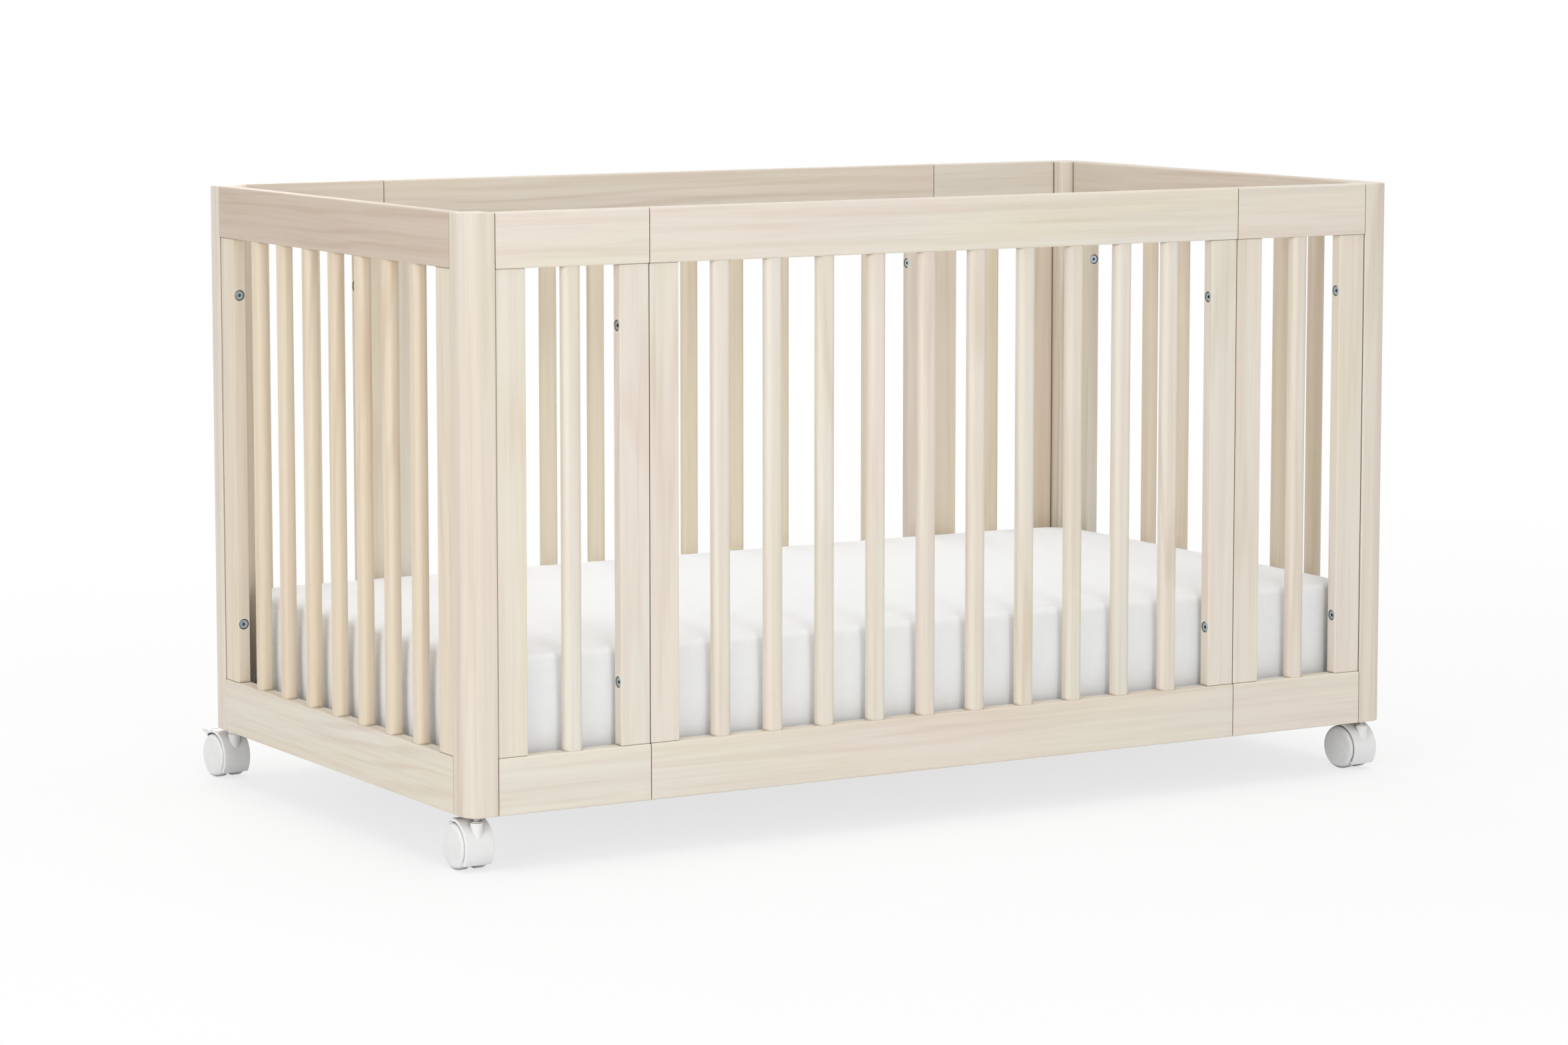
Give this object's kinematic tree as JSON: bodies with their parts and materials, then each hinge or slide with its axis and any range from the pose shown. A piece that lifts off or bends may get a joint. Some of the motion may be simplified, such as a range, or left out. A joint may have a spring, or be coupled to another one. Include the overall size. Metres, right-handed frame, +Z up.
{
  "type": "playpen",
  "caption": "Slatted wooden playpen with rounded corner posts, butted side panels and a low mattress, standing on twin-wheel swivel casters.",
  "frame": {"origin": "on the floor, under the middle of the wooden frame", "axes": "+X along the long sides, -Y the front side, +Z up"},
  "size_m": [1.3761, 0.7968, 0.79],
  "materials": {
    "washed_wood": "pale washed solid wood with fine grain, matte lacquer",
    "mattress_cover": "white woven fitted cover",
    "white_plastic": "white moulded plastic, satin",
    "bright_steel": "bright zinc-plated steel",
    "zinc_inserts": "dull zinc",
    "painted_steel": "white powder coat"
  },
  "bodies": {
    "frame": {"back_centre_bottom_rail": "washed_wood", "back_centre_stiles": "washed_wood", "back_centre_top_rail": "washed_wood", "back_left_bottom_rail": "washed_wood", "back_left_stiles": "washed_wood", "back_left_top_rail": "washed_wood", "back_right_bottom_rail": "washed_wood", "back_right_stiles": "washed_wood", "back_right_top_rail": "washed_wood", "back_spindles": "washed_wood", "caster_stems": "bright_steel", "connector_bolts": "bright_steel", "front_centre_bottom_rail": "washed_wood", "front_centre_stiles": "washed_wood", "front_centre_top_rail": "washed_wood", "front_left_bottom_rail": "washed_wood", "front_left_stiles": "washed_wood", "front_left_top_rail": "washed_wood", "front_right_bottom_rail": "washed_wood", "front_right_stiles": "washed_wood", "front_right_top_rail": "washed_wood", "front_spindles": "washed_wood", "hanger_bolts": "bright_steel", "hanger_brackets": "painted_steel", "left_end_bottom_rail": "washed_wood", "left_end_spindles": "washed_wood", "left_end_stiles": "washed_wood", "left_end_top_rail": "washed_wood", "post_back_left": "washed_wood", "post_back_right": "washed_wood", "post_bolts": "bright_steel", "post_front_left": "washed_wood", "post_front_right": "washed_wood", "right_end_bottom_rail": "washed_wood", "right_end_spindles": "washed_wood", "right_end_stiles": "washed_wood", "right_end_top_rail": "washed_wood", "sleeve_nuts": "bright_steel", "support_frame": "painted_steel", "support_slats": "painted_steel", "threaded_inserts": "zinc_inserts"},
    "mattress": {"mattress": "mattress_cover"},
    "swivel_front_left": {"caster_hood_front_left": "white_plastic", "caster_axle_front_left": "bright_steel"},
    "wheel_front_left_left": {"caster_wheel_front_left_left": "white_plastic"},
    "wheel_front_left_right": {"caster_wheel_front_left_right": "white_plastic"},
    "swivel_front_right": {"caster_hood_front_right": "white_plastic", "caster_axle_front_right": "bright_steel"},
    "wheel_front_right_left": {"caster_wheel_front_right_left": "white_plastic"},
    "wheel_front_right_right": {"caster_wheel_front_right_right": "white_plastic"},
    "swivel_back_left": {"caster_hood_back_left": "white_plastic", "caster_axle_back_left": "bright_steel"},
    "wheel_back_left_left": {"caster_wheel_back_left_left": "white_plastic"},
    "wheel_back_left_right": {"caster_wheel_back_left_right": "white_plastic"},
    "lever_back_left": {"brake_lever_back_left": "white_plastic"},
    "swivel_back_right": {"caster_hood_back_right": "white_plastic", "caster_axle_back_right": "bright_steel"},
    "wheel_back_right_left": {"caster_wheel_back_right_left": "white_plastic"},
    "wheel_back_right_right": {"caster_wheel_back_right_right": "white_plastic"},
    "lever_back_right": {"brake_lever_back_right": "white_plastic"}
  },
  "joints": [
    {"name": "swivel_turn_front_left", "type": "hinge", "parent": "frame", "child": "swivel_front_left", "pos_m": [-0.6655, -0.3575, 0.05], "axis": [0, 0, 1], "continuous": true},
    {"name": "wheel_spin_front_left_left", "type": "hinge", "parent": "swivel_front_left", "child": "wheel_front_left_left", "pos_m": [-0.66571, -0.3335, 0.029], "axis": [1, 0.0087, 0], "continuous": true},
    {"name": "wheel_spin_front_left_right", "type": "hinge", "parent": "swivel_front_left", "child": "wheel_front_left_right", "pos_m": [-0.66571, -0.3335, 0.029], "axis": [1, 0.0087, 0], "continuous": true},
    {"name": "swivel_turn_front_right", "type": "hinge", "parent": "frame", "child": "swivel_front_right", "pos_m": [0.6655, -0.3575, 0.05], "axis": [0, 0, 1], "continuous": true},
    {"name": "wheel_spin_front_right_left", "type": "hinge", "parent": "swivel_front_right", "child": "wheel_front_right_left", "pos_m": [0.66299, -0.33363, 0.029], "axis": [0.9945, 0.1045, 0], "continuous": true},
    {"name": "wheel_spin_front_right_right", "type": "hinge", "parent": "swivel_front_right", "child": "wheel_front_right_right", "pos_m": [0.66299, -0.33363, 0.029], "axis": [0.9945, 0.1045, 0], "continuous": true},
    {"name": "swivel_turn_back_left", "type": "hinge", "parent": "frame", "child": "swivel_back_left", "pos_m": [-0.6655, 0.3575, 0.05], "axis": [0, 0, 1], "continuous": true},
    {"name": "wheel_spin_back_left_left", "type": "hinge", "parent": "swivel_back_left", "child": "wheel_back_left_left", "pos_m": [-0.66717, 0.38144, 0.029], "axis": [0.9976, 0.0698, 0], "continuous": true},
    {"name": "wheel_spin_back_left_right", "type": "hinge", "parent": "swivel_back_left", "child": "wheel_back_left_right", "pos_m": [-0.66717, 0.38144, 0.029], "axis": [0.9976, 0.0698, 0], "continuous": true},
    {"name": "brake_press_back_left", "type": "hinge", "parent": "swivel_back_left", "child": "lever_back_left", "pos_m": [-0.66842, 0.39925, 0.05876], "axis": [0.9976, 0.0698, 0], "range_deg": [-16, 0]},
    {"name": "swivel_turn_back_right", "type": "hinge", "parent": "frame", "child": "swivel_back_right", "pos_m": [0.6655, 0.3575, 0.05], "axis": [0, 0, 1], "continuous": true},
    {"name": "wheel_spin_back_right_left", "type": "hinge", "parent": "swivel_back_right", "child": "wheel_back_right_left", "pos_m": [0.66466, 0.38149, 0.029], "axis": [0.9994, 0.0349, 0], "continuous": true},
    {"name": "wheel_spin_back_right_right", "type": "hinge", "parent": "swivel_back_right", "child": "wheel_back_right_right", "pos_m": [0.66466, 0.38149, 0.029], "axis": [0.9994, 0.0349, 0], "continuous": true},
    {"name": "brake_press_back_right", "type": "hinge", "parent": "swivel_back_right", "child": "lever_back_right", "pos_m": [0.66404, 0.39932, 0.05876], "axis": [0.9994, 0.0349, 0], "range_deg": [-16, 0]},
    {"name": "mattress_lift", "type": "slide", "parent": "frame", "child": "mattress", "axis": [0, 0, 1], "range_m": [0, 0.7]}
  ]
}
